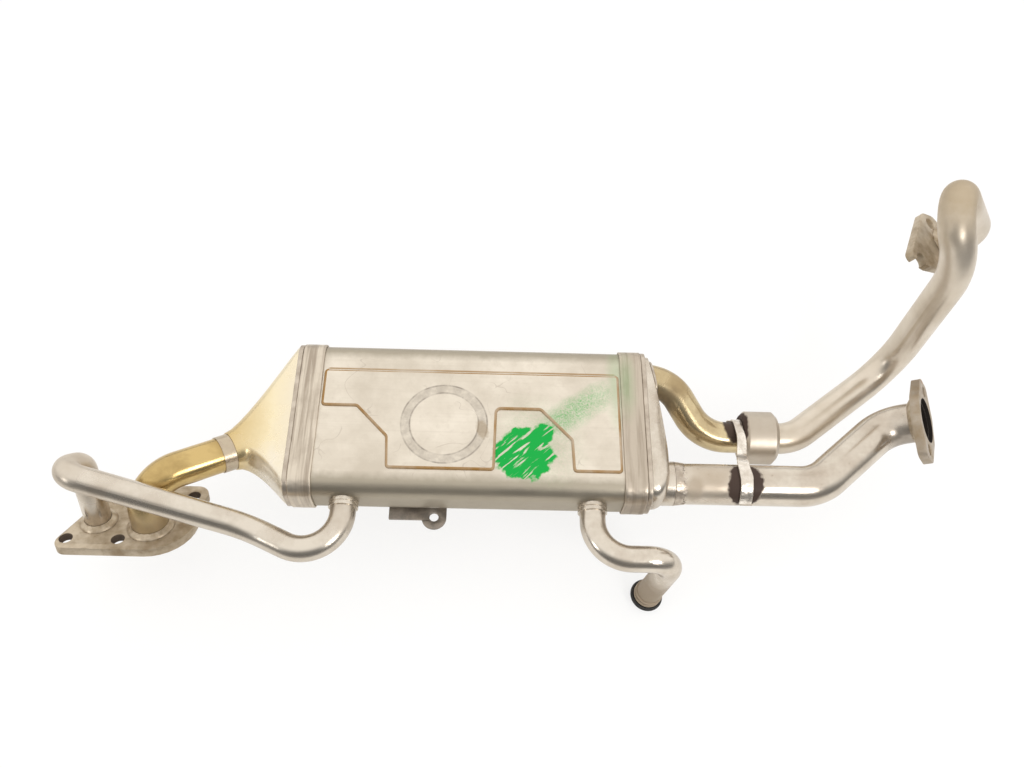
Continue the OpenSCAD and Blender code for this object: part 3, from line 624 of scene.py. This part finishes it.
class COOLER_OT_welds(bpy.types.Operator):
    """Lumpy weld seams, weld rings and collars"""
    bl_idname = "cooler.welds"
    bl_label = "Welds"

    def execute(self, context):
        c = colours()
        bead = bead_finish()
        flush = worn_metal("flush_weld", c.plate, c.plate_dull, 0.4, 0.006, spots=c.plate_dull, metallic=0.6)
        seam = worn_metal("seam_metal", c.bead, c.band_dull, 0.34, 0.012, streak=(1, 10, 10))
        rings = {"cone_seam": ("seam", seam), "cap_seam": ("seam", seam), "bypass_weld": ("weld", bead),
                 "outlet_collar": ("weld", bead), "strap_welds": ("weld", bead),
                 "inlet_weld": ("weld", flush), "coolant_outlet_weld": ("weld", flush),
                 "riser_weld": ("weld", flush), "outlet_weld": ("weld", flush)}
        for node, (slot, material) in rings.items():
            piece = copy_of(node, node + "_bead", flatten=False)
            if slot == "seam":
                make_lumpy(piece, sizes().bead_grid, sizes().seam_lump, sizes().seam_pitch, 8)
            else:
                height = sizes().lump * (1 if material == bead else 0.4)
                make_lumpy(piece, sizes().bead_grid, height, sizes().lump_pitch)
            dress(piece, slot, material, stands_for=node)
        finish_node("stub_collars", worn_metal("collar_metal", c.steel, c.steel_dull, 0.26, 0.008))
        return {"FINISHED"}


class COOLER_OT_cone_and_cap(bpy.types.Operator):
    """Straw-tinted inlet cone, its neck band, and the domed end cap"""
    bl_idname = "cooler.cone_and_cap"
    bl_label = "Cone and cap"

    def execute(self, context):
        c = colours()
        cone = copy_of("inlet_cone", "inlet_cone_form", flatten=False)
        smooth(cone, 40)
        dress(cone, "cone", cone_finish(), stands_for="inlet_cone")
        cap = copy_of("end_cap", "end_cap_form", flatten=False)
        smooth(cap, 40)
        metal = worn_metal("cap_metal", c.steel, c.steel_dull, 0.24, 0.02, streak=(1, 8, 8), uneven=0.0001)
        dress(cap, "cap", metal, stands_for="end_cap")
        finish_node("neck_band", worn_metal("neck_metal", c.neck, c.spigot, 0.24, 0.008, streak=(1, 8, 8)))
        return {"FINISHED"}


class COOLER_OT_gas_pipes(bpy.types.Operator):
    """Heat-tinted and bright gas pipes, and the coupling sleeve"""
    bl_idname = "cooler.gas_pipes"
    bl_label = "Gas pipes"

    def execute(self, context):
        c = colours()
        faded = [(c.spigot, 0.6, (0, 0.002, 0.006), (0.022, 0.022, 0.024), 0.5)]
        finish_node("inlet_pipe", worn_metal("gold_inlet", c.gold, c.gold_dull, 0.2, 0.025, streak=(8, 3, 3),
                                             marks=faded))
        patch_marks = [(c.burnt, 0.97, (0.417, 0.085, 0.018), (0.0085, 0.0140, 0.014), 0.08),
                (c.bypass_dull, 0.7, (0.372, 0.108, 0.036), (0.008, 0.008, 0.012), 0.3),
                (c.burnt, 0.6, (0.362, 0.100, 0.028), (0.013, 0.009, 0.012), 0.45)]
        finish_node("bypass_pipe", worn_metal("gold_bypass", c.bypass, c.bypass_dull, 0.19, 0.03,
                                              streak=(6, 6, 6), marks=patch_marks))
        # On the outlet pipe, the second patch is partly a smear and partly painted shade that tones down the
        # highlight there.
        patch_marks = [(c.spigot_dull, 0.55, (0.379, 0.026, 0.038), (0.006, 0.009, 0.012), 0.3),
                (c.spigot, 0.6, (0.390, 0.031, 0.039), (0.017, 0.013, 0.012), 0.6),
                (c.burnt, 0.4, (0.536, 0.072, 0.030), (0.012, 0.016, 0.016), 0.5),
                (c.burnt, 0.97, (0.4148, 0.030, 0.0375), (0.0122, 0.017, 0.017), 0.06)]
        mouth = [(c.soot, OUTLET_FACE, OUTLET_TURN, radius, reach)
                 for radius, reach in ((0.0141, 0.018), (0.0152, 0.0085))]
        finish_node("outlet_pipe", worn_metal("outlet_metal", c.steel, c.steel_dull, 0.2, 0.03, streak=(12, 2, 2),
                                              spots=c.plate_dull, marks=patch_marks, bores=mouth))
        brown_head = [(c.bypass_dull, 0.6, (0.536, 0.175, 0.180), (0.026, 0.026, 0.024), 0.6)]
        finish_node("riser_pipe", worn_metal("riser_metal", c.riser, c.riser_dull, 0.31, 0.05,
                                             streak=(5, 5, 3), marks=brown_head))
        patch_marks = [(c.burnt, 0.97, (0.4215, 0.084, 0.016), (0.0045, 0.016, 0.016), 0.08)]
        finish_node("coupling_sleeve", worn_metal("sleeve_metal", c.sleeve, c.steel_dull, 0.42, 0.02,
                                                  streak=(1, 8, 8), marks=patch_marks))
        return {"FINISHED"}


class COOLER_OT_coolant_pipes(bpy.types.Operator):
    """Bright coolant pipes and the black seal on the spigot"""
    bl_idname = "cooler.coolant_pipes"
    bl_label = "Coolant pipes"

    def execute(self, context):
        c = colours()
        # Painted shade: the upper bend of the coolant outlet pipe, where its leg turns away, is darkened brown.
        bend_shade = [(c.spigot, 0.5, (-0.046, 0.018, 0.056), (0.020, 0.022, 0.020), 0.5)]
        finish_node("coolant_outlet_pipe", worn_metal("coolant_metal", c.steel, c.steel_dull, 0.26, 0.03,
                                                      streak=(14, 4, 4), marks=bend_shade))
        brown_end = [(c.spigot_dull, 0.85, (0.354, -0.026, -0.036), (0.030, 0.026, 0.034), 0.35)]
        finish_node("coolant_inlet_pipe", worn_metal("spigot_metal", c.steel, c.steel_dull, 0.22, 0.024,
                                                     streak=(4, 4, 4), marks=brown_end))
        finish_node("spigot_seal", rubber_finish())
        return {"FINISHED"}


class COOLER_OT_plates(bpy.types.Operator):
    """Flange plates with eased edges"""
    bl_idname = "cooler.plates"
    bl_label = "Plates"

    def execute(self, context):
        c = colours()
        rust = [(c.rust, 0.8, (0.550, 0.1145, 0.0445), (0.004, 0.004, 0.004), 0.4)]
        mouth = [(c.soot, OUTLET_FACE, OUTLET_TURN, 0.0166, 0.06)]
        # Painted shade on the walls of the inlet plate's bolt holes.
        holes = [(c.shadow, place, INLET_TURN, 0.00462, 0.05) for place in INLET_HOLES]
        looks = {"inlet_plate": ("plate", (), holes), "riser_flange": ("riser_plate", (), ()),
                 "outlet_flange": ("outlet_plate", rust, mouth)}
        for node, (slot, marks, bores) in looks.items():
            piece = copy_of(node, node + "_eased")
            round_edges(piece, sizes().plate_edge)
            bright = c.flange if node == "outlet_flange" else c.plate
            metal = worn_metal(node + "_metal", bright, c.plate_dull, 0.42, 0.012, spots=c.plate_dull,
                               marks=marks, metallic=0.45, bores=bores)
            dress(piece, slot, metal, stands_for=node)
        return {"FINISHED"}


class COOLER_OT_tab(bpy.types.Operator):
    """Mounting tab in dark grey painted shade, with eased edges"""
    bl_idname = "cooler.tab"
    bl_label = "Tab"

    def execute(self, context):
        c = colours()
        piece = copy_of("mounting_tab", "mounting_tab_eased")
        round_edges(piece, sizes().tab_edge)
        dress(piece, "tab", worn_metal("tab_painted_shade", c.tab, c.bead_dull, 0.5, 0.008), stands_for="mounting_tab")
        return {"FINISHED"}


class COOLER_OT_strap(bpy.types.Operator):
    """Hammered strap between the two gas pipes"""
    bl_idname = "cooler.strap"
    bl_label = "Strap"

    def execute(self, context):
        c = colours()
        piece = copy_of("strap", "strap_hammered", flatten=False)
        make_lumpy(piece, 0.0004, 0.0008, 0.006)
        self.sway(piece)
        patch_marks = [(c.burnt, 0.6, (0.4165, 0.055, 0.03), (0.004, 0.004, 0.006), 0.3)]
        metal = worn_metal("strap_metal", c.strap, c.steel_dull, 0.26, 0.01, streak=(1, 5, 5), marks=patch_marks)
        dress(piece, "strap", metal, stands_for="strap")
        return {"FINISHED"}

    def sway(self, piece):
        """Lets the strap sag between the pipes, lean over towards the sleeve and narrow there."""
        lower, upper = 0.0352, 0.0802
        valley, spread, sag = 0.0627, 0.009, 0.0065
        low_x, high_x, waist = 0.4156, 0.4187, 0.3
        middle = sum(v.co.x for v in piece.data.vertices) / len(piece.data.vertices)
        for v in piece.data.vertices:
            share = min(max((v.co.y - lower) / (upper - lower), 0), 1)
            dip = sag * math.exp(-((v.co.y - valley) / spread) ** 2)
            wave = 0.0012 * math.sin(2 * math.pi * share)
            v.co.x = low_x + (high_x - low_x) * share - wave + (v.co.x - middle) * (1 - waist * share)
            v.co.y -= dip * 0.384
            v.co.z -= dip * 0.923


class COOLER_OT_core(bpy.types.Operator):
    """Gas tubes and spacers inside the core"""
    bl_idname = "cooler.core"
    bl_label = "Core"

    def execute(self, context):
        c = colours()
        metal = worn_metal("core_metal", c.steel_dull, c.plate_dull, 0.4, 0.02)
        for node in ("core_tubes", "tube_spacers"):
            finish_node(node, metal)
        return {"FINISHED"}


class COOLER_OT_stage(bpy.types.Operator):
    """Pale floor, soft light and the camera"""
    bl_idname = "cooler.stage"
    bl_label = "Stage"

    def execute(self, context):
        stage = context.scene.cooler_stage
        low, high = (Vector(corner) for corner in CAD_BOX)
        centre = (low + high) / 2
        bpy.ops.object.select_all(action="DESELECT")
        bpy.ops.mesh.primitive_plane_add(size=FLOOR_SIZE, location=(centre.x, centre.y, low.z))
        floor = context.object
        floor.name = "floor"
        bpy.ops.object.transform_apply(location=True, rotation=True, scale=True)
        floor.data.materials.append(self.floor_finish(stage.floor))
        self.light(context, stage, centre)
        self.camera(context, stage)
        context.scene.view_settings.view_transform = "Standard"
        return {"FINISHED"}

    def floor_finish(self, tone):
        """Pale matt floor: partly self-lit to the camera and in reflections, so only soft shadows show."""
        f = Finish("pale_floor")
        path = f.add("ShaderNodeLightPath").outputs
        mirrored = f.sum("MAXIMUM", path["Is Glossy Ray"], path["Is Transmission Ray"])
        seen = f.sum("MAXIMUM", f.sum("MULTIPLY", path["Is Camera Ray"], SEEN_FLOOR),
                     f.sum("MULTIPLY", mirrored, MIRRORED_FLOOR))
        reach = f.size_of(f.place(PALE_CENTRE, PALE_REACH))
        pale = f.sum("MAXIMUM", f.fade(reach, 1.25, 0.9, 0.3, 1.0), path["Is Camera Ray"])
        node = f.add("ShaderNodeVectorMath", operation="SCALE")
        node.inputs[0].default_value = tone
        f.put(node.inputs["Scale"], pale)
        f.put(f.surface.inputs["Base Color"], node.outputs[0])
        f.surface.inputs["Roughness"].default_value = 0.9
        f.surface.inputs["Specular IOR Level"].default_value = 0.0
        glow = f.add("ShaderNodeEmission")
        f.put(glow.inputs["Color"], (1, 1, 1))
        f.put(glow.inputs["Strength"], pale)
        blend = f.add("ShaderNodeMixShader")
        f.put(blend.inputs[0], seen)
        f.put(blend.inputs[1], f.surface.outputs[0])
        f.put(blend.inputs[2], glow.outputs[0])
        output = next(n for n in f.tree.nodes if n.type == "OUTPUT_MATERIAL")
        f.put(output.inputs["Surface"], blend.outputs[0])
        return f.material

    def light(self, context, stage, centre):
        """A room that is pale above, behind and beside the part and dark low in front, and two softboxes."""
        world = bpy.data.worlds.new("studio")
        context.scene.world = world
        world.use_nodes = True
        tree = world.node_tree
        tree.nodes.clear()
        where = tree.nodes.new("ShaderNodeTexCoord")
        lean = tree.nodes.new("ShaderNodeVectorMath")
        lean.operation = "DOT_PRODUCT"
        lean.inputs[1].default_value = SKY_LEAN
        reach = tree.nodes.new("ShaderNodeMapRange")
        reach.inputs["From Min"].default_value = -1
        ramp = tree.nodes.new("ShaderNodeValToRGB")
        path = tree.nodes.new("ShaderNodeLightPath").outputs
        mirrored, shared, shown = (tree.nodes.new("ShaderNodeMath") for _ in range(3))
        mirrored.operation = shown.operation = "MAXIMUM"
        shared.operation = "MULTIPLY"
        shared.inputs[1].default_value = MIRRORED_SKY
        seen = tree.nodes.new("ShaderNodeMix")
        seen.data_type = "RGBA"
        seen.inputs[7].default_value = (1, 1, 1, 1)
        sky = tree.nodes.new("ShaderNodeBackground")
        output = tree.nodes.new("ShaderNodeOutputWorld")
        for first, second in ((where.outputs["Generated"], lean.inputs[0]),
                              (lean.outputs["Value"], reach.inputs[0]),
                              (reach.outputs[0], ramp.inputs[0]), (ramp.outputs[0], seen.inputs[6]),
                              (path["Is Glossy Ray"], mirrored.inputs[0]),
                              (path["Is Transmission Ray"], mirrored.inputs[1]),
                              (mirrored.outputs[0], shared.inputs[0]), (shared.outputs[0], shown.inputs[0]),
                              (path["Is Camera Ray"], shown.inputs[1]), (shown.outputs[0], seen.inputs["Factor"]),
                              (seen.outputs[2], sky.inputs[0]),
                              (sky.outputs[0], output.inputs[0])):
            tree.links.new(first, second)
        ramp.color_ramp.elements.remove(ramp.color_ramp.elements[1])
        for number, (place, level) in enumerate(SKY_LEVELS):
            stop = ramp.color_ramp.elements[0] if number == 0 else ramp.color_ramp.elements.new(place)
            stop.position = place
            stop.color = (level, level * 0.985, level * 0.955, 1)
        for name, power, place, size in (("right_softbox", stage.key, (0.66, -0.42, 0.46), 0.24),
                                         ("left_softbox", stage.fill, (-0.55, -0.42, 0.36), 0.2)):
            data = bpy.data.lights.new(name, "AREA")
            data.size = size
            data.energy = power
            softbox = bpy.data.objects.new(name, data)
            context.collection.objects.link(softbox)
            softbox.location = place
            softbox.rotation_euler = (centre - softbox.location).to_track_quat("-Z", "Y").to_euler()
            softbox.visible_camera = False

    def camera(self, context, stage):
        data = bpy.data.cameras.new("view")
        data.lens = stage.lens
        data.sensor_width = SENSOR_WIDTH
        data.dof.use_dof = False
        camera = bpy.data.objects.new("view", data)
        context.collection.objects.link(camera)
        ahead = Vector(CAMERA_AHEAD).normalized()
        right = Vector(CAMERA_RIGHT)
        right = (right - ahead * right.dot(ahead)).normalized()
        up = right.cross(ahead)
        turn = Matrix((right, up, -ahead)).transposed().to_4x4()
        camera.matrix_world = Matrix.Translation(CAMERA_PLACE) @ turn
        context.scene.camera = camera


class COOLER_PT_panel(bpy.types.Panel):
    """Lists the making steps"""
    bl_idname = "COOLER_PT_panel"
    bl_label = "Exhaust gas cooler"
    bl_space_type = "VIEW_3D"
    bl_region_type = "UI"
    bl_category = "Cooler"

    def draw(self, context):
        for step in STEPS:
            self.layout.operator(step.bl_idname)
        for name in GROUPS:
            group = getattr(context.scene, name)
            for key in group.__annotations__:
                self.layout.prop(group, key)


STEPS = (COOLER_OT_shell, COOLER_OT_bands, COOLER_OT_welds, COOLER_OT_cone_and_cap, COOLER_OT_gas_pipes,
         COOLER_OT_coolant_pipes, COOLER_OT_plates, COOLER_OT_tab, COOLER_OT_strap, COOLER_OT_core,
         COOLER_OT_stage)
GROUPS = {"cooler_colours": CoolerColours, "cooler_sizes": CoolerSizes, "cooler_stage": CoolerStage}


def register():
    for kind in (*GROUPS.values(), *STEPS, COOLER_PT_panel):
        bpy.utils.register_class(kind)
    for name, group in GROUPS.items():
        setattr(bpy.types.Scene, name, PointerProperty(type=group))


def unregister():
    for name in GROUPS:
        delattr(bpy.types.Scene, name)
    for kind in reversed((*GROUPS.values(), *STEPS, COOLER_PT_panel)):
        bpy.utils.unregister_class(kind)


def main():
    register()
    bpy.ops.cooler.shell()
    bpy.ops.cooler.bands()
    bpy.ops.cooler.welds()
    bpy.ops.cooler.cone_and_cap()
    bpy.ops.cooler.gas_pipes()
    bpy.ops.cooler.coolant_pipes()
    bpy.ops.cooler.plates()
    bpy.ops.cooler.tab()
    bpy.ops.cooler.strap()
    bpy.ops.cooler.core()
    bpy.ops.cooler.stage()


if __name__ == "__main__":
    main()
